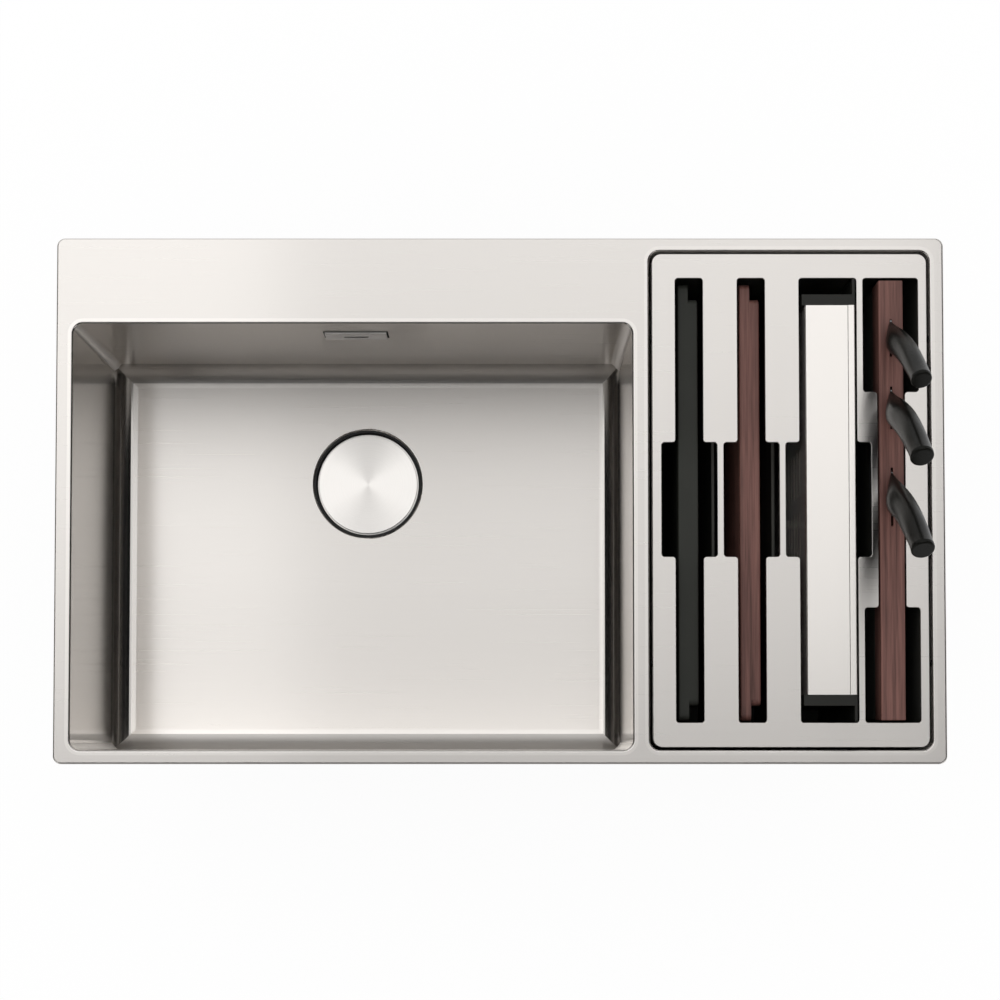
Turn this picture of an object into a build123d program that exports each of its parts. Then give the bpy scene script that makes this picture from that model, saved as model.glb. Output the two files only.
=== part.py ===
from build123d import *
from math import cos, radians, sin
import os

os.makedirs("parts", exist_ok=True)

# Frame in millimetres: X to the right, Y to the rear, Z up. The worktop's surface is z = 0,
# and the origin is the middle of the deck's outline on that surface.

# Deck: one sheet with a turned-down edge, welded to the bowl and to the tub.
sink_width = 860
sink_depth = 510
sheet = 1.0
bend = 2.0
deck_corner = 8
deck_top = 3.0
flange = 5.0
left_rim = 16.4
middle_rim = 16.5
right_rim = 14.1
front_rim = 13.5
rear_rim = 13
rear_deck = 83.5

# Main bowl and storage tub, measured at their openings in the deck.
bowl_drop = 200
bowl_corner = 10
bowl_bend = 22
tub_width = 271.4
tub_drop = 200
tub_corner = 10
tub_bend = 12
bowl_width = sink_width - left_rim - middle_rim - tub_width - right_rim
bowl_reach = sink_depth - front_rim - rear_deck
tub_reach = sink_depth - front_rim - rear_rim
bowl_x = left_rim + bowl_width / 2 - sink_width / 2
bowl_y = front_rim + bowl_reach / 2 - sink_depth / 2
bowl_rear = bowl_y + bowl_reach / 2
bowl_floor = deck_top - bowl_drop
tub_x = sink_width / 2 - right_rim - tub_width / 2
tub_y = front_rim + tub_reach / 2 - sink_depth / 2
tub_floor = deck_top - tub_drop

# Waste of the main bowl: a sump pressed into the floor, and the parts stacked in and under it.
drain_set_back = 126
drain_y = bowl_rear - drain_set_back
sump_radius = 58.3
sump_drop = 11
sump_bend = 1.5
cup_hole = 45
lid_radius = 53.3
lid_drop = 5
lid_sheet = 1.2
lid_lip = 1.5
lid_edge = 0.5
cup_flange_radius = 54.5
cup_radius = 42
cup_drop = 38.5
basket_radius = 40.5
basket_rim = 44
basket_sheet = 0.8
basket_slit = 3
basket_slits = 18
basket_seal_radius = 32
basket_seal_height = 6
knob_radius = 6
knob_fit = 0.5
waste_seal = 1.5
seal_lip = 1.8
seal_lip_fit = 0.4
seal_lip_drop = 2
body_seal = 2.0
body_radius = 48
body_wall = 3
body_flange = 4
body_drop = 78
outlet_radius = 23.9
outlet_bore = 20
outlet_length = 28
outlet_relief = 2.5
port_drop = 57
port_length = 22
clamp_screw_radius = 4
clamp_head_radius = 7
clamp_head_height = 4.5
thread_fit = 0.1
sump_floor = bowl_floor - sump_drop
cup_top = sump_floor + waste_seal + sheet
cup_floor = cup_top - cup_drop
lid_top = bowl_floor - lid_drop
lid_under = lid_top - lid_sheet
basket_floor = cup_floor + basket_seal_height
body_top = sump_floor - sheet - body_seal
body_floor = body_top - body_drop
port_z = body_top - port_drop

# Overflow on the bowl's rear wall, and its rigid pipe to the waste.
overflow_drop = 45.5
overflow_cover_width = 61
overflow_cover_height = 24
overflow_stand_off = 1.2
overflow_frame = 0.6
overflow_frame_edge = 1.5
overflow_slit_width = 25
overflow_slit_height = 5
overflow_hole_width = 40
overflow_hole_height = 20
overflow_seal = 2
overflow_housing_reach = 36
overflow_housing_height = 39
overflow_pipe_radius = 13
overflow_pipe_wall = 2
overflow_pipe_set_back = 20
overflow_spigot = 16
overflow_bend = 36
overflow_screw_radius = 2
overflow_screw_length = 15
overflow_screw_spread = 25
overflow_z = deck_top - overflow_drop
overflow_pipe_y = bowl_rear + sheet + overflow_seal + overflow_pipe_set_back

# Drain of the storage tub, and its link pipe to the waste.
tub_sump_radius = 34
tub_sump_drop = 4
tub_hole = 23
grid_radius = 32
grid_sheet = 1.5
elbow_radius = 24
elbow_flange = 4
elbow_wall = 3
link_radius = 20
link_wall = 2
link_fit = 0.3
tub_screw_radius = 3
coupling_wall = 4.5
coupling_length = 30

# Fixing: seal strip, and spring clips that snap under the edge of a worktop.
seal_width = 6
seal_fit = 0.5
worktop = 38
clip_width = 18
clip_sheet = 1.5
clip_start = 6
clip_drop = 16
clip_reach = 9.5
clip_screw_radius = 2
pad = 2.5
pad_corner = 12
floor_pad_share = 0.8
side_pad_share = 0.6
clip_spread = 150

# Organiser: a slotted steel plate on a black tray that stands on the tub's floor.
plate_gap = 2.7
plate_sheet = 1.5
plate_skirt = 10
plate_corner = 9
plate_edge = 0.5
plate_width = tub_width - 2 * plate_gap
plate_reach = tub_reach - 2 * plate_gap
slot_corner = 3
slot_end = 26.25
finger = 13.5
finger_reach = 111
board_slot = 26.8
trough_slot = 55.7
block_slot = 26.4
black_slot_x = tub_x - 97.2
wood_slot_x = tub_x - 37.1
trough_slot_x = tub_x + 37.2
block_slot_x = tub_x + 98
slot_reach = tub_reach - 2 * slot_end
tray_wall = 2.5
tray_fit = 0.5
tray_foot = 6
tray_hole = 5
divider_drop = 63
guide_height = 24
guide_fit = 0.5
guide_wall = 2
plate_screw_radius = 2
plate_under = deck_top - plate_sheet
plate_screw_z = plate_under - plate_skirt / 2
plate_screw_pitch = plate_reach * 0.66
tray_width = plate_width - 2 * (plate_sheet + tray_fit)
tray_reach = plate_reach - 2 * (plate_sheet + tray_fit)
tray_base = tub_floor + tray_foot
rest = tray_base + tray_wall

# Boards: half of the thickness is shorter, so that a board hangs in the bowl's rims.
board_fit = 2
board_length = slot_reach - 2 * board_fit
board_thickness = 19.6
board_step = 15
board_step_depth = 9.6
board_drop = 13
board_edge = 1.5
board_round = 6
board_height = deck_top - board_drop - rest

# Draining trough: one folded sheet, with its open side to the right when it is stored.
trough_end = 27
trough_length = slot_reach - 2 * trough_end
trough_depth = 48.6
trough_right = trough_slot_x + trough_slot / 2 - 2
trough_left = trough_right - trough_depth
trough_proud = 3
trough_hem = 7
trough_bend = 2
trough_slit = 4
trough_slit_length = 45
trough_slit_pitch = 60
trough_slit_columns = 6
trough_slit_rows = 9
cap_thickness = 10.5
cap_foot = 2.5
cap_lip = 2.5
cap_lip_reach = 15
cap_plug = 6
cap_fit = 0.3

# Knife block and knives: the blades stand in slanted slits, and the handles lean to the front.
block_fit = 2.5
block_length = slot_reach - 2 * block_fit
block_thickness = 23.5
block_proud = 1
block_edge = 1
block_bar = 28
sheath_inset = 1
block_top = deck_top + block_proud
slit = 2.4
slit_fit = 0.4
knife_lean = 28.5
blade_sheet = 1.6
blade_rise = 0.3
tip_share = 0.1
tang_width = 12
tang_length = 60
handle_rise = 0.6
handle_length = 136
handle_cap = 4
handle_cap_round = 2
handle_end_slant = 30
large_grip = 20
small_grip = 17.5
block_rear = tub_y + block_length / 2
chef_place = block_rear - 207.85
chef_heel = 37
chef_slit_front = -27.6
chef_slit_rear = 22.5
chef_length = 195
utility_place = block_rear - 124.55
utility_heel = 31
utility_slit_front = -18
utility_slit_rear = 18.5
utility_length = 150
paring_place = block_rear - 55.25
paring_heel = 28
paring_slit_front = -17
paring_slit_rear = 15
paring_length = 80

stand = (Align.CENTER, Align.CENTER, Align.MIN)
hang = (Align.CENTER, Align.CENTER, Align.MAX)


def tub_form(width, reach, centre, low, high, corner, floor_radius):
    """A block with round upright corners and round floor edges that meet in mitres."""
    with BuildPart() as form:
        with BuildSketch(Plane.XY.offset(low)):
            with Locations(centre):
                RectangleRounded(width, reach, corner)
        extrude(amount=high - low)
        with BuildSketch(Plane.XZ) as front_view:
            with Locations((centre[0], (low + high) / 2)):
                Rectangle(width, high - low)
            fillet(front_view.vertices().group_by(Axis.Y)[0], floor_radius)
        extrude(amount=sink_depth, both=True, mode=Mode.INTERSECT)
        with BuildSketch(Plane.YZ) as side_view:
            with Locations((centre[1], (low + high) / 2)):
                Rectangle(reach, high - low)
            fillet(side_view.vertices().group_by(Axis.Y)[0], floor_radius)
        extrude(amount=sink_width, both=True, mode=Mode.INTERSECT)
    return form.part


def pan_screw(radius, length, head_radius, head_height):
    """A screw that hangs from z = 0, with its head above and a cross recess in the head."""
    with BuildPart() as screw:
        Cylinder(radius, length, align=hang)
        Cylinder(head_radius, head_height, align=stand)
        fillet(screw.edges().group_by(Axis.Z)[-1], head_height / 2.5)
        with Locations((0, 0, head_height)):
            Box(head_radius * 1.1, head_radius / 4, head_height, mode=Mode.SUBTRACT)
            Box(head_radius / 4, head_radius * 1.1, head_height, mode=Mode.SUBTRACT)
    return screw.part


def coupling(bore):
    """A ribbed union nut around the z axis, over the joint of two pipes."""
    with BuildPart() as nut:
        Cylinder(bore + coupling_wall, coupling_length)
        with PolarLocations(bore + coupling_wall, 12):
            Cylinder(coupling_wall / 3, coupling_length * 0.8)
        Cylinder(bore, coupling_length, mode=Mode.SUBTRACT)
    return nut.part


bowl_centre = (bowl_x, bowl_y)
tub_centre = (tub_x, tub_y)
overflow_screw_places = [
    (bowl_x - overflow_screw_spread, overflow_z),
    (bowl_x + overflow_screw_spread, overflow_z),
]

# The deck, with its edge turned down to the worktop.
with BuildPart() as deck:
    with BuildSketch():
        RectangleRounded(sink_width, sink_depth, deck_corner)
    extrude(amount=deck_top)
    fillet(deck.faces().sort_by(Axis.Z)[-1].edges(), bend)
    with BuildSketch():
        RectangleRounded(sink_width - 2 * sheet, sink_depth - 2 * sheet, deck_corner - sheet)
    extrude(amount=deck_top - sheet, mode=Mode.SUBTRACT)
    fillet(deck.edges().filter_by_position(Axis.Z, deck_top - sheet, deck_top - sheet), bend - sheet)
    with BuildSketch():
        with Locations(bowl_centre):
            RectangleRounded(bowl_width + 2 * flange, bowl_reach + 2 * flange, bowl_corner + flange)
        with Locations(tub_centre):
            RectangleRounded(tub_width + 2 * flange, tub_reach + 2 * flange, tub_corner + flange)
    extrude(amount=deck_top, mode=Mode.SUBTRACT)
deck.part.label = "deck_plate"
export_step(deck.part, "parts/deck_plate.step")

# The main bowl, with a rolled rim, a sump for the waste and a hole for the overflow.
with BuildPart() as bowl:
    add(
        tub_form(
            bowl_width + 2 * sheet, bowl_reach + 2 * sheet, bowl_centre,
            bowl_floor - sheet, deck_top, bowl_corner + sheet, bowl_bend + sheet,
        )
    )
    with BuildSketch(Plane.XY.offset(deck_top - sheet)):
        with Locations(bowl_centre):
            RectangleRounded(bowl_width + 2 * flange, bowl_reach + 2 * flange, bowl_corner + flange)
    extrude(amount=sheet)
    add(
        tub_form(
            bowl_width, bowl_reach, bowl_centre,
            bowl_floor, deck_top, bowl_corner, bowl_bend,
        ),
        mode=Mode.SUBTRACT,
    )
    fillet(bowl.faces().sort_by(Axis.Z)[-1].inner_wires()[0].edges(), bend)
    under_flange = bowl.faces().filter_by_position(Axis.Z, deck_top - sheet, deck_top - sheet)[0]
    fillet(under_flange.inner_wires()[0].edges(), bend - sheet)
    with Locations((bowl_x, drain_y, bowl_floor)):
        Cylinder(sump_radius + sheet, sump_drop + sheet, align=hang)
        Cylinder(sump_radius, sump_drop, align=hang, mode=Mode.SUBTRACT)
        Cylinder(cup_hole, sump_drop + sheet, align=hang, mode=Mode.SUBTRACT)
    sump_edges = bowl.edges().filter_by(GeomType.CIRCLE)
    fillet(sump_edges.filter_by_position(Axis.Z, bowl_floor, bowl_floor), sump_bend)
    sump_edges = bowl.edges().filter_by(GeomType.CIRCLE)
    sump_foot = sump_edges.filter_by_position(Axis.Z, sump_floor, sump_floor)
    fillet(sump_foot.sort_by(SortBy.RADIUS)[-1], sump_bend)
    with BuildSketch(Plane.XZ.offset(-bowl_rear)):
        with Locations((bowl_x, overflow_z)):
            RectangleRounded(overflow_hole_width, overflow_hole_height, overflow_hole_height / 3)
        with Locations(*overflow_screw_places):
            Circle(overflow_screw_radius + thread_fit)
    extrude(amount=-2 * sheet, mode=Mode.SUBTRACT)
bowl.part.label = "main_bowl"
export_step(bowl.part, "parts/main_bowl.step")

# The storage tub, with a shallow sump for its small drain.
with BuildPart() as tub:
    add(
        tub_form(
            tub_width + 2 * sheet, tub_reach + 2 * sheet, tub_centre,
            tub_floor - sheet, deck_top, tub_corner + sheet, tub_bend + sheet,
        )
    )
    with BuildSketch(Plane.XY.offset(deck_top - sheet)):
        with Locations(tub_centre):
            RectangleRounded(tub_width + 2 * flange, tub_reach + 2 * flange, tub_corner + flange)
    extrude(amount=sheet)
    add(
        tub_form(
            tub_width, tub_reach, tub_centre,
            tub_floor, deck_top, tub_corner, tub_bend,
        ),
        mode=Mode.SUBTRACT,
    )
    fillet(tub.faces().sort_by(Axis.Z)[-1].inner_wires()[0].edges(), bend)
    under_flange = tub.faces().filter_by_position(Axis.Z, deck_top - sheet, deck_top - sheet)[0]
    fillet(under_flange.inner_wires()[0].edges(), bend - sheet)
    with Locations((tub_x, drain_y, tub_floor)):
        Cylinder(tub_sump_radius + sheet, tub_sump_drop + sheet, align=hang)
        Cylinder(tub_sump_radius, tub_sump_drop, align=hang, mode=Mode.SUBTRACT)
        Cylinder(tub_hole, tub_sump_drop + sheet, align=hang, mode=Mode.SUBTRACT)
    sump_edges = tub.edges().filter_by(GeomType.CIRCLE)
    fillet(sump_edges.filter_by_position(Axis.Z, tub_floor, tub_floor), sump_bend)
tub.part.label = "storage_tub"
export_step(tub.part, "parts/storage_tub.step")

# The seal strip lies inside the turned-down edge.
with BuildPart() as seal_strip:
    with BuildSketch():
        inset = 2 * (sheet + seal_fit)
        RectangleRounded(sink_width - inset, sink_depth - inset, deck_corner - inset / 2)
        inset = 2 * (sheet + seal_fit + seal_width)
        Rectangle(sink_width - inset, sink_depth - inset, mode=Mode.SUBTRACT)
    extrude(amount=deck_top - sheet)
    seal_edges = seal_strip.edges().group_by(Axis.Z)[-1]
    chamfer(seal_edges.sort_by(SortBy.LENGTH)[-4:], seal_fit)
seal_strip.part.label = "seal_strip"
export_step(seal_strip.part, "parts/seal_strip.step")

# Clips: a bracket on each wall, a spring that reaches under the worktop, and a screw through both.
tub_side = tub_x + tub_width / 2 + sheet
bowl_side = bowl_x - bowl_width / 2 - sheet
front_side = -sink_depth / 2 + front_rim - sheet
rear_side = tub_y + tub_reach / 2 + sheet
clip_places = [
    Location((bowl_x - clip_spread, front_side, 0), (0, 0, 180)),
    Location((bowl_x + clip_spread, front_side, 0), (0, 0, 180)),
    Location((tub_x, front_side, 0), (0, 0, 180)),
    Location((tub_x, rear_side, 0), (0, 0, 0)),
    Location((bowl_side, -clip_spread, 0), (0, 0, 90)),
    Location((bowl_side, clip_spread / 2, 0), (0, 0, 90)),
    Location((tub_side, -clip_spread, 0), (0, 0, -90)),
    Location((tub_side, clip_spread, 0), (0, 0, -90)),
]
hung_places = [
    Location((bowl_x - clip_spread, rear_side, 0), (0, 0, 0)),
    Location((bowl_x + clip_spread, rear_side, 0), (0, 0, 0)),
]
clip_low = -worktop - clip_drop
clip_screw_z = -2 * clip_start

with BuildPart() as clip_bracket:
    with Locations((0, clip_sheet / 2, -clip_start)):
        Box(clip_width, clip_sheet, worktop, align=hang)
    with Locations((0, 0, clip_screw_z)):
        Cylinder(
            clip_screw_radius + thread_fit, 4 * clip_sheet,
            rotation=(90, 0, 0), mode=Mode.SUBTRACT,
        )

with BuildPart() as hung_bracket:
    add(clip_bracket.part)
    with Locations((0, 0, -clip_start)):
        Box(clip_width, clip_sheet, clip_start + deck_top - sheet, align=(Align.CENTER, Align.MIN, Align.MIN))
    with Locations((0, 0, deck_top - sheet)):
        Box(clip_width, clip_width, clip_sheet, align=(Align.CENTER, Align.MAX, Align.MAX))

with BuildPart() as clip_brackets:
    with Locations(*clip_places):
        add(clip_bracket.part)
    with Locations(*hung_places):
        add(hung_bracket.part)
clip_brackets.part.label = "clip_brackets"
export_step(clip_brackets.part, "parts/clip_brackets.step")

with BuildPart() as spring_clip:
    with BuildSketch(Plane.YZ):
        with BuildLine():
            FilletPolyline(
                (clip_sheet * 1.5, -clip_start),
                (clip_sheet * 1.5, clip_low),
                (clip_reach, -worktop),
                radius=clip_sheet,
            )
            offset(amount=clip_sheet / 2)
        make_face()
    extrude(amount=clip_width / 2 - sheet, both=True)
    with Locations((0, 0, clip_screw_z)):
        Cylinder(
            clip_screw_radius + thread_fit, 8 * clip_sheet,
            rotation=(90, 0, 0), mode=Mode.SUBTRACT,
        )

with BuildPart() as spring_clips:
    with Locations(*clip_places, *hung_places):
        add(spring_clip.part)
spring_clips.part.label = "spring_clips"
export_step(spring_clips.part, "parts/spring_clips.step")

with BuildPart() as clip_screw:
    with Locations(Location((0, 2 * clip_sheet, clip_screw_z), (-90, 0, 0))):
        add(pan_screw(clip_screw_radius, 2 * clip_sheet, clip_screw_radius * 2, clip_screw_radius))

with BuildPart() as clip_screws:
    with Locations(*clip_places, *hung_places):
        add(clip_screw.part)
clip_screws.part.label = "clip_screws"
export_step(clip_screws.part, "parts/clip_screws.step")

# Sound pads, glued to the outside of the bowl and of the tub.
with BuildPart() as bowl_floor_pad:
    with BuildSketch(Plane.XY.offset(bowl_floor - sheet)):
        with Locations(bowl_centre):
            RectangleRounded(bowl_width * floor_pad_share, bowl_reach * floor_pad_share, pad_corner)
        with Locations((bowl_x, drain_y)):
            Circle(sump_radius + pad_corner, mode=Mode.SUBTRACT)
    extrude(amount=-pad)
bowl_floor_pad.part.label = "bowl_floor_pad"
export_step(bowl_floor_pad.part, "parts/bowl_floor_pad.step")

with BuildPart() as bowl_side_pads:
    pad_z = deck_top - bowl_drop * side_pad_share
    pad_height = bowl_drop / 2
    with BuildSketch(Plane.YZ.offset(bowl_side)):
        with Locations((bowl_y, pad_z)):
            RectangleRounded(bowl_reach * side_pad_share, pad_height, pad_corner)
    extrude(amount=-pad)
    with BuildSketch(Plane.YZ.offset(bowl_x + bowl_width / 2 + sheet)):
        with Locations((bowl_y, pad_z)):
            RectangleRounded(bowl_reach * side_pad_share, pad_height, pad_corner)
    extrude(amount=pad)
    with BuildSketch(Plane.XZ.offset(-front_side)):
        with Locations((bowl_x, pad_z)):
            RectangleRounded(bowl_width * side_pad_share, pad_height, pad_corner)
    extrude(amount=pad)
bowl_side_pads.part.label = "bowl_side_pads"
export_step(bowl_side_pads.part, "parts/bowl_side_pads.step")

with BuildPart() as tub_floor_pad:
    with BuildSketch(Plane.XY.offset(tub_floor - sheet)):
        with Locations(tub_centre):
            RectangleRounded(tub_width * floor_pad_share, tub_reach * floor_pad_share, pad_corner)
        with Locations((tub_x, drain_y)):
            Circle(tub_sump_radius + pad_corner, mode=Mode.SUBTRACT)
    extrude(amount=-pad)
tub_floor_pad.part.label = "tub_floor_pad"
export_step(tub_floor_pad.part, "parts/tub_floor_pad.step")

# Seal of the waste cup: flat under the cup's flange, with a lip that lines the sump's wall around the lid.
lip_radius = sump_radius - seal_lip_fit
lip_foot = sump_floor + waste_seal * 2 / 3
lip_top = bowl_floor - seal_lip_drop
with BuildPart() as cup_seal:
    with Locations((bowl_x, drain_y, sump_floor)):
        Cylinder(sump_radius - sump_bend, waste_seal, align=stand)
    with Locations((bowl_x, drain_y, lip_foot)):
        Cylinder(lip_radius, lip_top - lip_foot, align=stand)
    with Locations((bowl_x, drain_y, sump_floor + waste_seal)):
        Cylinder(lip_radius - seal_lip, sump_drop, align=stand, mode=Mode.SUBTRACT)
    with Locations((bowl_x, drain_y, sump_floor)):
        Cylinder(cup_hole, waste_seal, align=stand, mode=Mode.SUBTRACT)
cup_seal.part.label = "cup_seal"
export_step(cup_seal.part, "parts/cup_seal.step")

# Waste cup: it hangs in the sump on that seal, and its floor has holes around the clamp screw.
with BuildPart() as waste_cup:
    with Locations((bowl_x, drain_y, cup_top)):
        Cylinder(cup_flange_radius, sheet, align=hang)
        Cylinder(cup_radius + sheet, cup_drop + sheet, align=hang)
        Cylinder(cup_radius, cup_drop, align=hang, mode=Mode.SUBTRACT)
        Cylinder(clamp_screw_radius + thread_fit, cup_drop + sheet, align=hang, mode=Mode.SUBTRACT)
        with PolarLocations(basket_seal_radius * 0.6, 6):
            Cylinder(clamp_head_radius, cup_drop + sheet, align=hang, mode=Mode.SUBTRACT)
    fillet(waste_cup.edges().group_by(Axis.Z)[-1].sort_by(SortBy.RADIUS)[0], sheet)
waste_cup.part.label = "waste_cup"
export_step(waste_cup.part, "parts/waste_cup.step")

with BuildPart() as body_seal_ring:
    with Locations((bowl_x, drain_y, sump_floor - sheet)):
        Cylinder(cup_flange_radius, body_seal, align=hang)
        Cylinder(body_radius - body_wall + bend, body_seal, align=hang, mode=Mode.SUBTRACT)
body_seal_ring.part.label = "body_seal"
export_step(body_seal_ring.part, "parts/body_seal.step")

# Waste body: a moulded cup with a bridge for the clamp screw, two side ports and the outlet.
with BuildPart() as waste_body:
    with Locations((bowl_x, drain_y, body_top)):
        Cylinder(cup_flange_radius, body_flange, align=hang)
        Cylinder(body_radius, body_drop, align=hang)
    with Locations((bowl_x, drain_y, body_floor)):
        Cylinder(outlet_radius - sheet, outlet_length, align=hang)
    with Locations((bowl_x, drain_y, body_floor - outlet_relief)):
        Cylinder(outlet_radius, outlet_length - outlet_relief, align=hang)
    outlet_rim = waste_body.edges().group_by(Axis.Z)[0]
    chamfer(outlet_rim, sheet)
    with Locations(Location((bowl_x, drain_y, port_z), (0, 90, 0))):
        Cylinder(link_radius, body_radius + port_length, align=stand)
    with Locations(Location((bowl_x, drain_y, port_z), (-90, 0, 0))):
        Cylinder(overflow_pipe_radius, body_radius + port_length, align=stand)
    with Locations((bowl_x, drain_y, body_top)):
        Cylinder(body_radius - body_wall, body_drop - body_wall, align=hang, mode=Mode.SUBTRACT)
    with Locations(Location((bowl_x, drain_y, port_z), (0, 90, 0))):
        Cylinder(link_radius - link_wall, body_radius + port_length, align=stand, mode=Mode.SUBTRACT)
    with Locations(Location((bowl_x, drain_y, port_z), (-90, 0, 0))):
        Cylinder(
            overflow_pipe_radius - overflow_pipe_wall, body_radius + port_length,
            align=stand, mode=Mode.SUBTRACT,
        )
    with Locations((bowl_x, drain_y, body_floor)):
        Cylinder(outlet_bore, 2 * outlet_length, mode=Mode.SUBTRACT)
    with Locations((bowl_x, drain_y, cup_floor - sheet)):
        Cylinder(clamp_head_radius + body_wall, clamp_head_height * 2, align=hang)
        Box(
            2 * body_radius - body_wall, clamp_head_radius, clamp_head_height * 2,
            align=hang, rotation=(0, 0, 45),
        )
        Cylinder(clamp_screw_radius + thread_fit, clamp_head_height * 2, align=hang, mode=Mode.SUBTRACT)
waste_body.part.label = "waste_body"
export_step(waste_body.part, "parts/waste_body.step")

with BuildPart() as clamp_screw:
    with Locations((bowl_x, drain_y, cup_floor)):
        clamp_length = 2 * clamp_head_height + sheet
        add(pan_screw(clamp_screw_radius, clamp_length, clamp_head_radius, clamp_head_height))
clamp_screw.part.label = "clamp_screw"
export_step(clamp_screw.part, "parts/clamp_screw.step")

# Strainer basket: it stands on its rubber seal in the cup, and lifts out by its knob.
with BuildPart() as basket:
    basket_depth = cup_top - basket_floor
    with Locations((bowl_x, drain_y, basket_floor)):
        Cylinder(basket_radius, basket_depth, align=stand)
    with Locations((bowl_x, drain_y, cup_top)):
        Cylinder(basket_rim, basket_sheet, align=stand)
    with Locations((bowl_x, drain_y, basket_floor + basket_sheet)):
        Cylinder(basket_radius - basket_sheet, basket_depth, align=stand, mode=Mode.SUBTRACT)
    with Locations((bowl_x, drain_y, basket_floor)):
        with PolarLocations(basket_seal_radius + basket_slit, basket_slits):
            Box(basket_slit, basket_slit, 4 * basket_sheet, mode=Mode.SUBTRACT)
        with Locations((0, 0, basket_depth / 2)):
            with PolarLocations(basket_radius, basket_slits):
                Box(4 * basket_sheet, basket_slit, basket_depth / 2, mode=Mode.SUBTRACT)
        Cylinder(knob_radius, lid_under - basket_floor, align=stand)
basket.part.label = "strainer_basket"
export_step(basket.part, "parts/strainer_basket.step")

with BuildPart() as basket_seal:
    with Locations((bowl_x, drain_y, cup_floor)):
        Cylinder(basket_seal_radius, basket_seal_height, align=stand)
        Cylinder(clamp_head_radius + bend, basket_seal_height, align=stand, mode=Mode.SUBTRACT)
    fillet(basket_seal.edges().group_by(Axis.Z)[0].sort_by(SortBy.RADIUS)[-1], bend)
basket_seal.part.label = "strainer_seal"
export_step(basket_seal.part, "parts/strainer_seal.step")

# Drain lid: a spun disc with a short edge, and a sleeve that sits over the basket's knob.
with BuildPart() as drain_lid:
    with Locations((bowl_x, drain_y, lid_top)):
        Cylinder(lid_radius, lid_sheet + lid_lip, align=hang)
    fillet(drain_lid.edges().group_by(Axis.Z)[-1], lid_edge)
    with Locations((bowl_x, drain_y, lid_under)):
        Cylinder(lid_radius - lid_sheet, lid_lip, align=hang, mode=Mode.SUBTRACT)
        Cylinder(knob_radius + knob_fit + bend, 2 * knob_radius, align=hang)
        Cylinder(knob_radius + knob_fit, 2 * knob_radius, align=hang, mode=Mode.SUBTRACT)
drain_lid.part.label = "drain_lid"
export_step(drain_lid.part, "parts/drain_lid.step")

# Overflow: a folded cover that is open at its ends, on a rubber frame, and a housing behind the bowl's wall.
with BuildPart() as cover_frame:
    with BuildSketch(Plane.XZ.offset(-bowl_rear)):
        with Locations((bowl_x, overflow_z)):
            Rectangle(overflow_cover_width + 2 * overflow_frame_edge, overflow_cover_height + sheet)
            Rectangle(overflow_cover_width - sheet, overflow_cover_height - 2 * sheet, mode=Mode.SUBTRACT)
    extrude(amount=overflow_frame)
cover_frame.part.label = "cover_frame"
export_step(cover_frame.part, "parts/cover_frame.step")

cover_back = bowl_rear - overflow_frame
cover_face = cover_back - overflow_stand_off
with BuildPart() as overflow_cover:
    with Locations((bowl_x, cover_back, overflow_z)):
        Box(
            overflow_cover_width, overflow_stand_off + sheet, overflow_cover_height,
            align=(Align.CENTER, Align.MAX, Align.CENTER),
        )
    fillet(overflow_cover.edges().filter_by(Axis.X).group_by(Axis.Y)[0], sheet)
    with Locations((bowl_x, cover_back, overflow_z)):
        Box(
            overflow_cover_width, overflow_stand_off, overflow_cover_height - 2 * sheet,
            align=(Align.CENTER, Align.MAX, Align.CENTER), mode=Mode.SUBTRACT,
        )
    with BuildSketch(Plane.XZ.offset(-cover_face)):
        with Locations((bowl_x, overflow_z)):
            SlotOverall(overflow_slit_width, overflow_slit_height)
    extrude(amount=2 * sheet, mode=Mode.SUBTRACT)
overflow_cover.part.label = "overflow_cover"
export_step(overflow_cover.part, "parts/overflow_cover.step")

wall_outside = bowl_rear + sheet
with BuildPart() as overflow_gasket:
    with BuildSketch(Plane.XZ.offset(-wall_outside)):
        with Locations((bowl_x, overflow_z)):
            RectangleRounded(overflow_cover_width, overflow_housing_height, pad_corner)
            RectangleRounded(
                overflow_hole_width, overflow_hole_height, overflow_hole_height / 3, mode=Mode.SUBTRACT
            )
        with Locations(*overflow_screw_places):
            Circle(overflow_screw_radius + thread_fit, mode=Mode.SUBTRACT)
    extrude(amount=-overflow_seal)
overflow_gasket.part.label = "overflow_gasket"
export_step(overflow_gasket.part, "parts/overflow_gasket.step")

housing_front = wall_outside + overflow_seal
spigot_end = overflow_z - overflow_housing_height / 2 - overflow_spigot
with BuildPart() as overflow_housing:
    with BuildSketch(Plane.XZ.offset(-housing_front)):
        with Locations((bowl_x, overflow_z)):
            RectangleRounded(overflow_cover_width, overflow_housing_height, pad_corner)
    extrude(amount=-overflow_housing_reach)
    fillet(overflow_housing.edges().group_by(Axis.Y)[-1], bend)
    with Locations((bowl_x, overflow_pipe_y, overflow_z)):
        Cylinder(overflow_pipe_radius, overflow_z - spigot_end, align=hang)
    with BuildSketch(Plane.XZ.offset(-housing_front)):
        with Locations((bowl_x, overflow_z)):
            RectangleRounded(overflow_hole_width, overflow_hole_height, overflow_hole_height / 3)
    extrude(amount=-overflow_housing_reach + body_wall, mode=Mode.SUBTRACT)
    with Locations((bowl_x, overflow_pipe_y, overflow_z)):
        Cylinder(
            overflow_pipe_radius - overflow_pipe_wall, overflow_z - spigot_end,
            align=hang, mode=Mode.SUBTRACT,
        )
    with BuildSketch(Plane.XZ.offset(-housing_front)):
        with Locations(*overflow_screw_places):
            Circle(overflow_screw_radius + thread_fit)
    extrude(amount=-overflow_housing_reach / 2, mode=Mode.SUBTRACT)
overflow_housing.part.label = "overflow_housing"
export_step(overflow_housing.part, "parts/overflow_housing.step")

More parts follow.
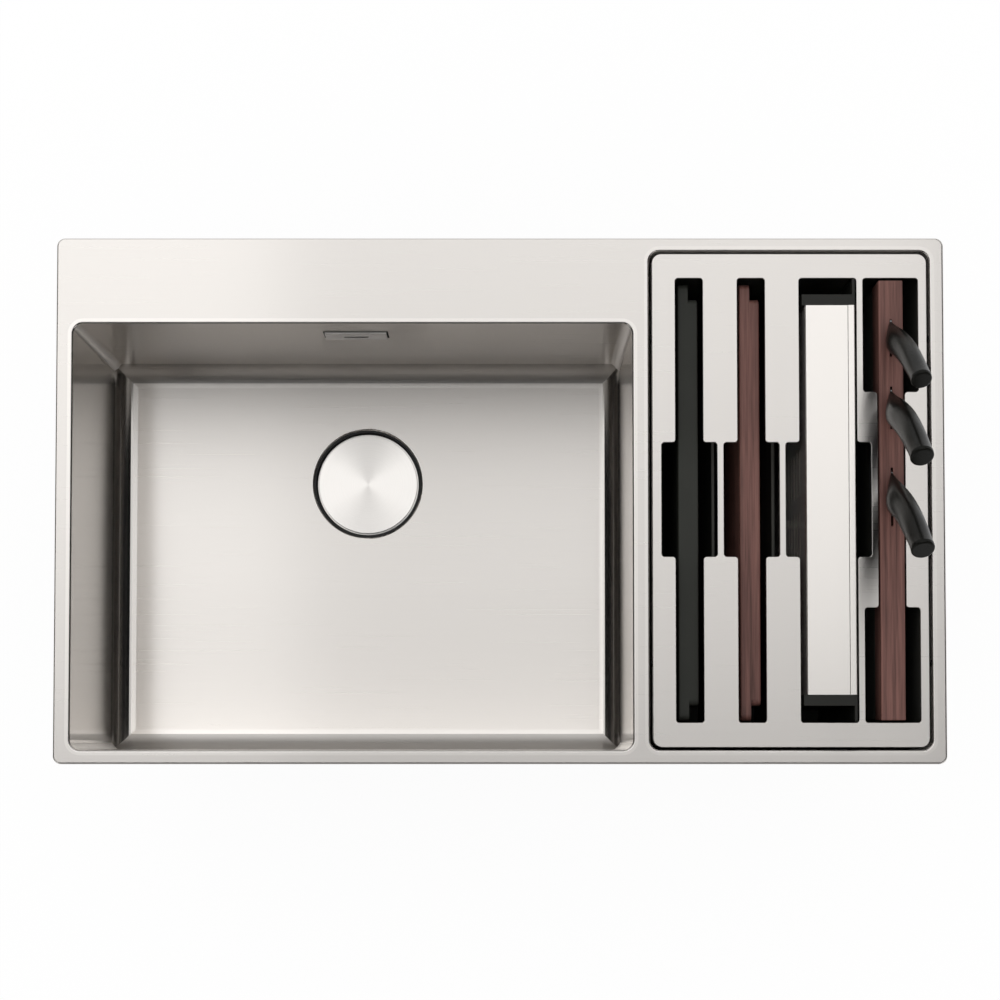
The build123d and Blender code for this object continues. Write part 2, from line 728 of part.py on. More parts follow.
with BuildPart() as overflow_screws:
    with Locations(
        Location((bowl_x - overflow_screw_spread, bowl_rear, overflow_z), (90, 0, 0)),
        Location((bowl_x + overflow_screw_spread, bowl_rear, overflow_z), (90, 0, 0)),
    ):
        add(
            pan_screw(
                overflow_screw_radius, overflow_screw_length,
                overflow_screw_radius * 1.8, overflow_screw_radius * 0.7,
            )
        )
overflow_screws.part.label = "overflow_screws"
export_step(overflow_screws.part, "parts/overflow_screws.step")

port_end = drain_y + body_radius + port_length
with BuildPart() as overflow_pipe:
    with BuildLine():
        FilletPolyline(
            (bowl_x, overflow_pipe_y, spigot_end),
            (bowl_x, overflow_pipe_y, port_z),
            (bowl_x, port_end, port_z),
            radius=overflow_bend,
        )
    with BuildSketch(Plane.XY.offset(spigot_end)):
        with Locations((bowl_x, overflow_pipe_y)):
            Circle(overflow_pipe_radius)
            Circle(overflow_pipe_radius - overflow_pipe_wall, mode=Mode.SUBTRACT)
    sweep()
overflow_pipe.part.label = "overflow_pipe"
export_step(overflow_pipe.part, "parts/overflow_pipe.step")

with BuildPart() as overflow_couplings:
    with Locations(
        Location((bowl_x, overflow_pipe_y, spigot_end)),
        Location((bowl_x, port_end, port_z), (90, 0, 0)),
    ):
        add(coupling(overflow_pipe_radius + link_fit))
overflow_couplings.part.label = "overflow_couplings"
export_step(overflow_couplings.part, "parts/overflow_couplings.step")

# Tub drain: a small grid, its seals, an elbow under the floor, and the link pipe to the waste.
tub_sump_floor = tub_floor - tub_sump_drop
with BuildPart() as grid_seal:
    with Locations((tub_x, drain_y, tub_sump_floor)):
        Cylinder(grid_radius, waste_seal, align=stand)
        Cylinder(tub_hole, waste_seal, align=stand, mode=Mode.SUBTRACT)
grid_seal.part.label = "grid_seal"
export_step(grid_seal.part, "parts/grid_seal.step")

grid_under = tub_sump_floor + waste_seal
with BuildPart() as drain_grid:
    with Locations((tub_x, drain_y, grid_under)):
        Cylinder(grid_radius, grid_sheet, align=stand)
    fillet(drain_grid.edges().group_by(Axis.Z)[-1], grid_sheet / 2)
    with Locations((tub_x, drain_y, grid_under)):
        Cylinder(tub_screw_radius + thread_fit, 2 * grid_sheet, mode=Mode.SUBTRACT)
        with PolarLocations(tub_hole * 0.45, 6):
            Cylinder(tub_screw_radius, 4 * grid_sheet, mode=Mode.SUBTRACT)
        with PolarLocations(tub_hole * 0.8, 12):
            Cylinder(tub_screw_radius, 4 * grid_sheet, mode=Mode.SUBTRACT)
drain_grid.part.label = "drain_grid"
export_step(drain_grid.part, "parts/drain_grid.step")

tub_under = tub_sump_floor - sheet
with BuildPart() as elbow_seal:
    with Locations((tub_x, drain_y, tub_under)):
        Cylinder(grid_radius, body_seal, align=hang)
        Cylinder(tub_hole, body_seal, align=hang, mode=Mode.SUBTRACT)
elbow_seal.part.label = "elbow_seal"
export_step(elbow_seal.part, "parts/elbow_seal.step")

elbow_top = tub_under - body_seal
elbow_end = tub_x - elbow_radius - port_length
with BuildPart() as drain_elbow:
    with Locations((tub_x, drain_y, elbow_top)):
        Cylinder(grid_radius, elbow_flange, align=hang)
        Cylinder(elbow_radius, elbow_top - port_z + elbow_radius, align=hang)
    fillet(drain_elbow.edges().group_by(Axis.Z)[0], elbow_radius / 3)
    with Locations(Location((tub_x, drain_y, port_z), (0, -90, 0))):
        Cylinder(link_radius, tub_x - elbow_end, align=stand)
    with Locations((tub_x, drain_y, elbow_top)):
        Cylinder(
            elbow_radius - elbow_wall, elbow_top - port_z + elbow_radius - elbow_wall,
            align=hang, mode=Mode.SUBTRACT,
        )
    with Locations(Location((tub_x, drain_y, port_z), (0, -90, 0))):
        Cylinder(link_radius - link_wall, tub_x - elbow_end, align=stand, mode=Mode.SUBTRACT)
    with Locations((tub_x, drain_y, elbow_top)):
        Cylinder(tub_screw_radius * 2, 3 * elbow_flange, align=hang)
        Box(tub_screw_radius * 2, 2 * elbow_radius - elbow_wall, 3 * elbow_flange, align=hang)
        Cylinder(tub_screw_radius + thread_fit, 3 * elbow_flange, align=hang, mode=Mode.SUBTRACT)
drain_elbow.part.label = "drain_elbow"
export_step(drain_elbow.part, "parts/drain_elbow.step")

with BuildPart() as grid_screw:
    with Locations((tub_x, drain_y, grid_under + grid_sheet)):
        add(
            pan_screw(
                tub_screw_radius, grid_under - elbow_top + 3 * elbow_flange,
                tub_screw_radius * 1.7, waste_seal,
            )
        )
grid_screw.part.label = "grid_screw"
export_step(grid_screw.part, "parts/grid_screw.step")

link_start = bowl_x + body_radius + port_length
with BuildPart() as link_pipe:
    with BuildSketch(Plane.YZ.offset(link_start)):
        with Locations((drain_y, port_z)):
            Circle(link_radius)
            Circle(link_radius - link_wall, mode=Mode.SUBTRACT)
    extrude(amount=elbow_end - link_start)
link_pipe.part.label = "link_pipe"
export_step(link_pipe.part, "parts/link_pipe.step")

with BuildPart() as link_couplings:
    with Locations(
        Location((link_start, drain_y, port_z), (0, 90, 0)),
        Location((elbow_end, drain_y, port_z), (0, 90, 0)),
    ):
        add(coupling(link_radius + link_fit))
link_couplings.part.label = "link_couplings"
export_step(link_couplings.part, "parts/link_couplings.step")

# Organiser plate: each slot widens into finger gaps, in the middle or at both ends.
end_finger = (slot_reach - finger_reach) / 2
with BuildPart() as organiser_plate:
    with BuildSketch(Plane.XY.offset(plate_under - plate_skirt)):
        with Locations(tub_centre):
            RectangleRounded(plate_width, plate_reach, plate_corner)
    extrude(amount=plate_skirt + plate_sheet)
    with BuildSketch(Plane.XY.offset(plate_under - plate_skirt)):
        with Locations(tub_centre):
            RectangleRounded(
                plate_width - 2 * plate_sheet, plate_reach - 2 * plate_sheet, plate_corner - plate_sheet
            )
    extrude(amount=plate_skirt, mode=Mode.SUBTRACT)
    with BuildSketch(Plane.XY.offset(plate_under)) as slots:
        for slot_x, slot_width in (
            (black_slot_x, board_slot),
            (wood_slot_x, board_slot),
            (trough_slot_x, trough_slot),
        ):
            with Locations((slot_x, tub_y)):
                Rectangle(slot_width, slot_reach)
                Rectangle(slot_width + 2 * finger, finger_reach)
        with Locations((block_slot_x, tub_y)):
            Rectangle(block_slot, slot_reach)
        with Locations((block_slot_x, tub_y + end_finger), (block_slot_x, tub_y - end_finger)):
            Rectangle(block_slot + 2 * finger, finger_reach)
        fillet(slots.vertices(), slot_corner)
    extrude(amount=plate_sheet, mode=Mode.SUBTRACT)
    fillet(organiser_plate.edges().group_by(Axis.Z)[-1], plate_edge)
    with Locations((tub_x, tub_y, plate_screw_z)):
        with GridLocations(plate_width, plate_screw_pitch, 2, 2):
            Cylinder(
                plate_screw_radius + thread_fit, 4 * plate_sheet,
                rotation=(0, 90, 0), mode=Mode.SUBTRACT,
            )
organiser_plate.part.label = "organiser_plate"
export_step(organiser_plate.part, "parts/organiser_plate.step")

with BuildPart() as organiser_tray:
    with BuildSketch(Plane.XY.offset(tray_base)):
        with Locations(tub_centre):
            RectangleRounded(tray_width, tray_reach, plate_corner - plate_sheet - tray_fit)
    extrude(amount=plate_under - tray_base)
    with BuildSketch(Plane.XY.offset(rest)):
        with Locations(tub_centre):
            RectangleRounded(tray_width - 2 * tray_wall, tray_reach - 2 * tray_wall, slot_corner)
    extrude(amount=plate_under - rest, mode=Mode.SUBTRACT)
    for bay_x in (
        black_slot_x - (board_slot + finger) / 2,
        black_slot_x + (board_slot + finger) / 2,
        wood_slot_x - (board_slot + finger) / 2,
        wood_slot_x + (board_slot + finger) / 2,
        trough_slot_x - (trough_slot + finger) / 2,
        block_slot_x + (block_slot + finger) / 2,
    ):
        with Locations((bay_x, tub_y, tray_base)):
            with GridLocations(tray_width, tray_reach / 4, 1, 3):
                Cylinder(tray_hole, 4 * tray_wall, mode=Mode.SUBTRACT)
    with Locations((tub_x, tub_y, plate_screw_z)):
        with GridLocations(plate_width, plate_screw_pitch, 2, 2):
            Cylinder(
                plate_screw_radius + thread_fit, 4 * tray_wall,
                rotation=(0, 90, 0), mode=Mode.SUBTRACT,
            )
organiser_tray.part.label = "organiser_tray"
export_step(organiser_tray.part, "parts/organiser_tray.step")

with BuildPart() as plate_screws:
    screw_length = plate_sheet + tray_fit + tray_wall
    for side, turn in ((-1, -90), (1, 90)):
        side_x = tub_x + side * plate_width / 2
        with Locations(
            Location((side_x, tub_y + plate_screw_pitch / 2, plate_screw_z), (0, turn, 0)),
            Location((side_x, tub_y - plate_screw_pitch / 2, plate_screw_z), (0, turn, 0)),
        ):
            add(pan_screw(plate_screw_radius, screw_length, plate_screw_radius * 1.8, waste_seal))
plate_screws.part.label = "plate_screws"
export_step(plate_screws.part, "parts/plate_screws.step")

with BuildPart() as tray_feet:
    with Locations((tub_x, tub_y, tub_floor)):
        with GridLocations(tray_width * 0.78, tray_reach * 0.88, 2, 2):
            Cylinder(tray_foot * 1.4, tray_foot, align=stand)
    fillet(tray_feet.edges().group_by(Axis.Z)[0], sheet)
tray_feet.part.label = "tray_feet"
export_step(tray_feet.part, "parts/tray_feet.step")

# Inside the tray, low dividers part the four bays, and guides hold each accessory's foot.
divider_reach = tray_reach - 2 * (tray_wall + guide_fit)
black_wood_x = (black_slot_x + wood_slot_x) / 2
wood_trough_x = (wood_slot_x + board_slot / 2 + trough_slot_x - trough_slot / 2) / 2
trough_block_x = (trough_slot_x + trough_slot / 2 + block_slot_x - block_slot / 2) / 2
with BuildPart() as tray_dividers:
    with Locations((black_wood_x, tub_y, rest), (wood_trough_x, tub_y, rest), (trough_block_x, tub_y, rest)):
        Box(tray_wall, divider_reach, deck_top - divider_drop - rest, align=stand)
tray_dividers.part.label = "tray_dividers"
export_step(tray_dividers.part, "parts/tray_dividers.step")

trough_x = (trough_right + trough_left - cap_foot) / 2
with BuildPart() as tray_guides:
    for bay_x, thickness in (
        (black_slot_x, board_thickness),
        (wood_slot_x, board_thickness),
        (trough_x, trough_depth + cap_foot),
        (block_slot_x, block_thickness),
    ):
        offset_x = thickness / 2 + guide_fit + guide_wall / 2
        with Locations((bay_x - offset_x, tub_y, rest), (bay_x + offset_x, tub_y, rest)):
            Box(guide_wall, board_length * 0.9, guide_height, align=stand)
        offset_y = board_length / 2 + guide_fit + cap_foot + guide_wall / 2
        with Locations((bay_x, tub_y - offset_y, rest), (bay_x, tub_y + offset_y, rest)):
            Box(thickness, guide_wall, guide_height, align=stand)
tray_guides.part.label = "tray_guides"
export_step(tray_guides.part, "parts/tray_guides.step")

# The two boards stand on edge.
board_side = board_thickness / 2
board_middle = (tub_y, rest + board_height / 2)
with BuildPart() as board:
    with BuildSketch(Plane.YZ.offset(-board_side)):
        with Locations(board_middle):
            RectangleRounded(board_length, board_height, board_round)
    extrude(amount=board_thickness - board_step_depth)
    with BuildSketch(Plane.YZ.offset(board_side)):
        with Locations(board_middle):
            RectangleRounded(board_length - 2 * board_step, board_height, board_round)
    extrude(amount=-board_step_depth)
    fillet(board.faces().sort_by(Axis.X)[0].edges(), board_edge)
    fillet(board.faces().sort_by(Axis.X)[-1].edges(), board_edge)

with BuildPart() as black_board:
    with Locations((black_slot_x, 0, 0)):
        add(board.part)
black_board.part.label = "black_board"
export_step(black_board.part, "parts/black_board.step")

with BuildPart() as wood_board:
    with Locations((wood_slot_x, 0, 0)):
        add(board.part)
wood_board.part.label = "wood_board"
export_step(wood_board.part, "parts/wood_board.step")

# Draining trough: a folded sheet with a hemmed rim, closed by a black cap at each end.
hem_top = deck_top + trough_proud
wall_top = hem_top - sheet
wall_low = rest + sheet
half = sheet / 2
hem_x = trough_right - trough_hem / 2
with BuildPart() as drain_trough:
    with BuildSketch(Plane.XZ.offset(-tub_y)):
        with BuildLine():
            FilletPolyline(
                (trough_right - half, wall_top - half),
                (trough_left + half, wall_top - half),
                (trough_left + half, wall_low + half),
                (trough_right - half, wall_low + half),
                radius=trough_bend,
            )
            offset(amount=half)
        make_face()
        with Locations((hem_x, wall_top), (hem_x, wall_low)):
            SlotOverall(trough_hem, 2 * sheet)
    extrude(amount=trough_length / 2, both=True)
    with BuildSketch(Plane.YZ.offset(trough_left)):
        with Locations((tub_y, (wall_top + wall_low) / 2)):
            with GridLocations(trough_slit_pitch, 4 * trough_slit, trough_slit_columns, trough_slit_rows):
                Rectangle(trough_slit_length, trough_slit)
    extrude(amount=2 * sheet, mode=Mode.SUBTRACT)
drain_trough.part.label = "drain_trough"
export_step(drain_trough.part, "parts/drain_trough.step")

with BuildPart() as trough_cap:
    with Locations((trough_right, 0, rest)):
        Box(
            trough_depth + cap_foot, cap_thickness, wall_top - rest,
            align=(Align.MAX, Align.MIN, Align.MIN),
        )
        Box(
            cap_lip, cap_thickness + cap_lip_reach, wall_top - rest,
            align=(Align.MAX, Align.MIN, Align.MIN),
        )
    fillet(trough_cap.edges().group_by(Axis.Y)[-1], sheet)
    with Locations((trough_right - sheet - cap_fit, 0, (wall_top + wall_low) / 2)):
        Box(
            trough_depth - 2 * (sheet + cap_fit), cap_plug, wall_top - wall_low - 2 * (sheet + cap_fit),
            align=(Align.MAX, Align.MAX, Align.CENTER),
        )
    fillet(trough_cap.edges().filter_by(Axis.Y).group_by(Axis.Y)[0].group_by(Axis.X)[0], trough_bend)

with BuildPart() as rear_cap:
    with Locations((0, tub_y + trough_length / 2, 0)):
        add(trough_cap.part)
rear_cap.part.label = "trough_rear_cap"
export_step(rear_cap.part, "parts/trough_rear_cap.step")

with BuildPart() as front_cap:
    with Locations((0, trough_length / 2 - tub_y, 0)):
        add(trough_cap.part)
    mirror(about=Plane.XZ, mode=Mode.REPLACE)
front_cap.part.label = "trough_front_cap"
export_step(front_cap.part, "parts/trough_front_cap.step")

# Knives: each plane below stands on the block's top, with its z along the knife.
lean_rise = cos(radians(knife_lean))
lean_run = sin(radians(knife_lean))


def knife_plane(place):
    """The plane across a knife where its axis leaves the block: x across the blade, y to the rear."""
    return Plane(origin=(block_slot_x, place, block_top), x_dir=(1, 0, 0), z_dir=(0, -lean_run, lean_rise))


def level(across, height):
    """How far along a knife a point beside its axis stands at a height above the block."""
    return (height - across * lean_run) / lean_rise


def knife_blade(place, spine, edge, length):
    """A blade from its level heel down to its tip, and a tang up into the handle."""
    across = knife_plane(place)
    flat = Plane(origin=across.origin, x_dir=across.y_dir, z_dir=across.x_dir)
    tip = (spine + edge) * tip_share
    with BuildPart() as blade:
        with BuildSketch(flat):
            with BuildLine():
                Polyline(
                    (tip, -length),
                    (spine, -length * 0.8),
                    (spine, level(spine, blade_rise)),
                    (edge, level(edge, blade_rise)),
                    (edge, -length * 0.4),
                )
                Bezier((edge, -length * 0.4), (edge, -length * 0.8), (tip, -length))
            make_face()
            Rectangle(tang_width, tang_length, align=(Align.CENTER, Align.MIN))
        extrude(amount=blade_sheet / 2, both=True)
    return blade.part


def end_plane(place):
    """The slanted plane in which a knife's handle ends: it leans further to the front than the knife."""
    return knife_plane(place).offset(handle_length).rotated((handle_end_slant, 0, 0))


def knife_handle(place, heel, grip):
    """A moulded handle: thin over the blade, arched and oval in the hand, cut level with the block."""
    across = knife_plane(place)
    with BuildPart() as handle:
        for station, thickness, width, arch in (
            (-handle_length * 0.12, grip * 0.06, heel * 0.51, 0),
            (handle_length * 0.05, grip * 0.35, heel * 0.47, grip * 0.05),
            (handle_length * 0.2, grip * 0.53, heel * 0.2 + grip * 0.42, grip * 0.17),
            (handle_length * 0.4, grip * 0.58, grip * 0.7, grip * 0.3),
            (handle_length * 0.62, grip * 0.56, grip * 0.66, grip * 0.3),
            (handle_length * 0.84, grip * 0.54, grip * 0.58, grip * 0.16),
        ):
            with BuildSketch(across.offset(station)):
                with Locations((0, arch)):
                    Ellipse(thickness, width)
        with BuildSketch(end_plane(place)):
            Ellipse(grip * 0.53, grip * 0.6)
        loft()
        split(bisect_by=Plane.XY.offset(block_top + handle_rise), keep=Keep.TOP)
        with BuildSketch(across.offset(-handle_length * 0.2)):
            Rectangle(blade_sheet + 2 * thread_fit, tang_width + 2 * thread_fit)
        extrude(amount=handle_length * 0.2 + tang_length + thread_fit, mode=Mode.SUBTRACT)
    return handle.part


def knife_end(place, grip):
    """The oval cap on a handle's end."""
    with BuildPart() as end:
        with BuildSketch(end_plane(place)):
            Ellipse(grip * 0.53, grip * 0.6)
        extrude(amount=handle_cap)
        fillet(end.faces().sort_by(Axis.Z)[-1].edges(), handle_cap_round)
    return end.part


with BuildPart() as blade_room:
    for place, front, rear, length in (
        (chef_place, chef_slit_front, chef_slit_rear, chef_length),
        (utility_place, utility_slit_front, utility_slit_rear, utility_length),
        (paring_place, paring_slit_front, paring_slit_rear, paring_length),
    ):
        with BuildSketch(knife_plane(place).offset(-length - 2 * slit_fit)):
            with Locations((0, (front + rear) / 2)):
                Rectangle(slit, rear - front)
        extrude(amount=length * 1.5)

# A wooden bar carries the knives, and a black sheath under it covers the blades.
with BuildPart() as knife_block:
    with Locations((block_slot_x, tub_y, block_top)):
        Box(block_thickness, block_length, block_bar, align=hang)
    fillet(knife_block.edges(), block_edge)
    add(blade_room.part, mode=Mode.SUBTRACT)
knife_block.part.label = "knife_block"
export_step(knife_block.part, "parts/knife_block.step")

sheath_height = block_top - block_bar - rest
with BuildPart() as knife_sheath:
    with Locations((block_slot_x, tub_y, rest)):
        Box(block_thickness - 2 * sheath_inset, block_length - 2 * sheath_inset, sheath_height, align=stand)
    fillet(knife_sheath.edges().filter_by(Axis.Z), block_edge)
    add(blade_room.part, mode=Mode.SUBTRACT)
knife_sheath.part.label = "knife_sheath"
export_step(knife_sheath.part, "parts/knife_sheath.step")

with BuildPart() as chef_blade:
    add(knife_blade(chef_place, -chef_heel / 2, chef_heel / 2, chef_length))
chef_blade.part.label = "chef_knife_blade"
export_step(chef_blade.part, "parts/chef_knife_blade.step")

with BuildPart() as chef_handle:
    add(knife_handle(chef_place, chef_heel, large_grip))
chef_handle.part.label = "chef_knife_handle"
export_step(chef_handle.part, "parts/chef_knife_handle.step")

with BuildPart() as chef_end:
    add(knife_end(chef_place, large_grip))
chef_end.part.label = "chef_knife_end"
export_step(chef_end.part, "parts/chef_knife_end.step")

with BuildPart() as utility_blade:
    add(knife_blade(utility_place, -utility_heel / 2, utility_heel / 2, utility_length))
utility_blade.part.label = "utility_knife_blade"
export_step(utility_blade.part, "parts/utility_knife_blade.step")

with BuildPart() as utility_handle:
    add(knife_handle(utility_place, utility_heel, large_grip))
utility_handle.part.label = "utility_knife_handle"
export_step(utility_handle.part, "parts/utility_knife_handle.step")

with BuildPart() as utility_end:
    add(knife_end(utility_place, large_grip))
utility_end.part.label = "utility_knife_end"
export_step(utility_end.part, "parts/utility_knife_end.step")

with BuildPart() as paring_blade:
    add(knife_blade(paring_place, -paring_heel / 2, paring_heel / 2, paring_length))
paring_blade.part.label = "paring_knife_blade"
export_step(paring_blade.part, "parts/paring_knife_blade.step")

with BuildPart() as paring_handle:
    add(knife_handle(paring_place, paring_heel, small_grip))
paring_handle.part.label = "paring_knife_handle"
export_step(paring_handle.part, "parts/paring_knife_handle.step")

with BuildPart() as paring_end:
    add(knife_end(paring_place, small_grip))
paring_end.part.label = "paring_knife_end"
export_step(paring_end.part, "parts/paring_knife_end.step")
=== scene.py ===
# %% [markdown]
# # Finishing a drop-in sink
# The sink arrives as solid parts that already have their size and place: a deck
# plate, two welded bowls, the waste fittings and the stored accessories. This
# lesson gives every part the finish it would have in a shop, then lights the
# sink and sets a camera to photograph it from above. No part is moved.

# %% Load the parts
import math

import bpy
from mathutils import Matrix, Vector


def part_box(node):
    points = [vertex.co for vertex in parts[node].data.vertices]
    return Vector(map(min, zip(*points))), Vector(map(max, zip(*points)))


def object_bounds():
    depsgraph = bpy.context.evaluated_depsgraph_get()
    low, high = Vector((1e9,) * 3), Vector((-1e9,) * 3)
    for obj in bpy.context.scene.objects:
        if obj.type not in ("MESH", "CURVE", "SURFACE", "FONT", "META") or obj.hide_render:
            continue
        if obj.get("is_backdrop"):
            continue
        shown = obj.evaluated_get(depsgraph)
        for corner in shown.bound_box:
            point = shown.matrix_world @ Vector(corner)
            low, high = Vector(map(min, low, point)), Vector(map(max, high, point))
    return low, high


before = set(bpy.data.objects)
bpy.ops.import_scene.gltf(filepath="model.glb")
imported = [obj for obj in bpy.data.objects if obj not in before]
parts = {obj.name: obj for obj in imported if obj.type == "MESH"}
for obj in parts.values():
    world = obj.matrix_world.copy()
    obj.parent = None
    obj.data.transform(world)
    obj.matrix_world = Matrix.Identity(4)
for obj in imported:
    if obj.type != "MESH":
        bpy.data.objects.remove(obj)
cad_low, cad_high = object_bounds()
print("parts:", len(parts))
print("size in mm:", [round(1000 * side) for side in cad_high - cad_low])

# %% [markdown]
# ## The camera
# The photograph looks almost straight down. The sides of the bowl that can be
# seen tell where the lens was: above the front part of the deck, not above its
# middle. A lens shift keeps the deck's edges nearly parallel from there, and a
# small tilt does the rest of the framing.

# %% Place the camera
camera_data = bpy.data.cameras.new("photo_camera")
camera_data.sensor_width = 36.0
camera_data.lens = 62.97
camera_data.shift_y = 0.185
camera = bpy.data.objects.new("photo_camera", camera_data)
camera.location = (0.0, -0.2373, 1.6838)
camera.rotation_euler = (math.radians(1.99), 0.0, 0.0)
bpy.context.scene.collection.objects.link(camera)
bpy.context.scene.camera = camera
print("lens in mm:", camera_data.lens, "height in mm:", round(1000 * camera.location.z))

# %% [markdown]
# ## Light
# Steel has no colour of its own to speak of: it shows the room. The room here is
# a white dome, with a wide soft lamp overhead and a second one to the left, where
# the photograph is brightest. Both hang behind the middle of the sink, so that its
# front is a little darker than its rear.

# %% Hang the lamps
world = bpy.data.worlds.new("white_dome")
bpy.context.scene.world = world
world.use_nodes = True
dome = world.node_tree.nodes["Background"]
dome.inputs["Color"].default_value = (1.0, 1.0, 1.0, 1.0)
dome.inputs["Strength"].default_value = 1.0
bpy.context.scene.view_settings.view_transform = "Standard"


def soft_lamp(name, place, width, reach, power):
    """A soft box that faces straight down."""
    lamp_data = bpy.data.lights.new(name, "AREA")
    lamp_data.shape = "RECTANGLE"
    lamp_data.size = width
    lamp_data.size_y = reach
    lamp_data.energy = power
    lamp = bpy.data.objects.new(name, lamp_data)
    lamp.location = place
    bpy.context.scene.collection.objects.link(lamp)
    return lamp


soft_lamp("overhead_lamp", place=(-0.475, 1.76, 3.3), width=3.95, reach=4.28, power=18.0)
soft_lamp("left_lamp", place=(-1.55, 1.76, 3.4), width=1.8, reach=4.28, power=7.0)
print("lamps:", len(bpy.data.lights))

# %% [markdown]
# ## Floor and black ceiling
# The floor is a white sheet just below the lowest part. The ceiling is a black
# sheet with a window for the lamps. Only shiny surfaces see it: it darkens the bends
# of the bowl and its rear wall, as in the photograph. Skirts hang from
# it on the left, the right and in front, where the bends and the handles look.
# The corners and the rear stay open, so that the steel is bright when seen from
# there.

# %% Build the studio
def studio_sheet(name, corners, faces):
    """A sheet that belongs to the studio."""
    mesh = bpy.data.meshes.new(name)
    mesh.from_pydata(corners, [], faces)
    sheet = bpy.data.objects.new(name, mesh)
    bpy.context.scene.collection.objects.link(sheet)
    sheet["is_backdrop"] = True
    return sheet


def at_level(outline, level):
    """Lift a flat outline to one height."""
    return [(x, y, level) for x, y in outline]


floor_level = cad_low.z - 0.001
half = 12.0
floor_outline = [(-half, -half), (half, -half), (half, half), (-half, half)]
floor = studio_sheet("studio_floor", at_level(floor_outline, floor_level), [(0, 1, 2, 3)])

ceiling_level = 3.2
skirt_level = 0.4
window = [(-2.45, -0.38), (1.50, -0.38), (1.50, 3.90), (-2.45, 3.90)]
edge = [
    (-2.10, -3.64), (2.10, -3.64), (3.70, -1.97), (3.70, 1.97),
    (2.60, 4.30), (-3.20, 4.30), (-3.70, 1.97), (-3.70, -1.97),
]
skirt = [(-4.6, -8.0), (4.6, -8.0), (8.0, -4.25), (8.0, 4.25), (-8.0, 4.25), (-8.0, -4.25)]
round_the_window = [
    (0, 1, 5, 4), (1, 6, 5), (1, 2, 7, 6), (2, 8, 7),
    (2, 3, 9, 8), (3, 10, 9), (3, 0, 11, 10), (0, 4, 11),
]
hanging = [(4, 5, 13, 12), (6, 7, 15, 14), (10, 11, 17, 16)]
ceiling = studio_sheet(
    "black_ceiling",
    at_level(window + edge, ceiling_level) + at_level(skirt, skirt_level),
    round_the_window + hanging,
)
ceiling.visible_camera = False
ceiling.visible_diffuse = False
ceiling.visible_shadow = False
print("floor in mm:", round(1000 * floor_level, 1), "ceiling in mm:", round(1000 * ceiling_level))

# %% [markdown]
# ## Small helpers for finishes
# Each finish is a network of nodes round one shader. These helpers make a
# material, add a node to it and join two sockets. The last one gives a finish to
# a list of parts.

# %% Define the basic helpers
def new_finish(name):
    """A fresh material with its node tree and its main shader."""
    finish = bpy.data.materials.new(name)
    finish.use_nodes = True
    tree = finish.node_tree
    return finish, tree, tree.nodes["Principled BSDF"]


def add(tree, kind, **settings):
    """A new node with its settings."""
    node = tree.nodes.new(kind)
    for key, value in settings.items():
        setattr(node, key, value)
    return node


def join(tree, source, target):
    """A link from one socket to another."""
    tree.links.new(source, target)


def give(finish, names):
    """Put one finish on every part in the list."""
    for name in names:
        part = parts[name]
        part.data.materials.clear()
        part.data.materials.append(finish)
    print(finish.name, "on", len(names), "parts")


print("basic helpers ready")

# %% [markdown]
# ## Helpers for sums, colours and noise
# A finish is worked out at every spot of the surface: from its place, from the
# way it faces and from noise. These helpers do the sums, turn a number between 0
# and 1 into a colour or a roughness, and let it raise the surface.

# %% Define the helpers for patterns
def vector_step(tree, operation, first, second):
    """One vector sum: the inputs are sockets or plain triples."""
    node = add(tree, "ShaderNodeVectorMath", operation=operation)
    for socket, value in zip(node.inputs, (first, second)):
        if isinstance(value, tuple):
            socket.default_value = value
        else:
            join(tree, value, socket)
    return node


def number_step(tree, operation, first, second=0.0):
    """One sum on plain numbers: the inputs are sockets or numbers."""
    node = add(tree, "ShaderNodeMath", operation=operation)
    for socket, value in zip(node.inputs, (first, second)):
        if isinstance(value, float):
            socket.default_value = value
        else:
            join(tree, value, socket)
    return node.outputs[0]


def spread_between(tree, source, low, high):
    """Stretch a 0 to 1 value between two numbers."""
    node = add(tree, "ShaderNodeMapRange")
    node.inputs["To Min"].default_value = low
    node.inputs["To Max"].default_value = high
    join(tree, source, node.inputs["Value"])
    return node.outputs["Result"]


def colour_between(tree, source, low, high, start=0.0, end=1.0):
    """Run a value through two colours, between a start and an end."""
    node = add(tree, "ShaderNodeValToRGB")
    node.color_ramp.elements[0].position = start
    node.color_ramp.elements[1].position = end
    node.color_ramp.elements[0].color = (*low, 1.0)
    node.color_ramp.elements[1].color = (*high, 1.0)
    join(tree, source, node.inputs["Fac"])
    return node.outputs["Color"]


def own_place(tree):
    """The place on the part, in metres."""
    return add(tree, "ShaderNodeTexCoord").outputs["Object"]


def stretched(tree, place, times):
    """The place with each direction multiplied, to stretch a noise."""
    return vector_step(tree, "MULTIPLY", place, times).outputs[0]


def noise(tree, place, scale, detail):
    """Soft noise at a place, as a 0 to 1 value."""
    node = add(tree, "ShaderNodeTexNoise")
    node.inputs["Scale"].default_value = scale
    node.inputs["Detail"].default_value = detail
    join(tree, place, node.inputs["Vector"])
    return node.outputs["Fac"]


def relief(tree, shader, height, strength, depth):
    """Let a 0 to 1 value raise the surface a little."""
    node = add(tree, "ShaderNodeBump")
    node.inputs["Strength"].default_value = strength
    node.inputs["Distance"].default_value = depth
    join(tree, height, node.inputs["Height"])
    join(tree, node.outputs["Normal"], shader.inputs["Normal"])


print("pattern helpers ready")

# %% [markdown]
# ## Finish of the studio
# The floor is matt white. Seen by the lens, or in polished metal, it is lifted
# most of the way to pure white, as a lit table is, and the rest of its tone keeps
# the shadow. The ceiling is black felt.

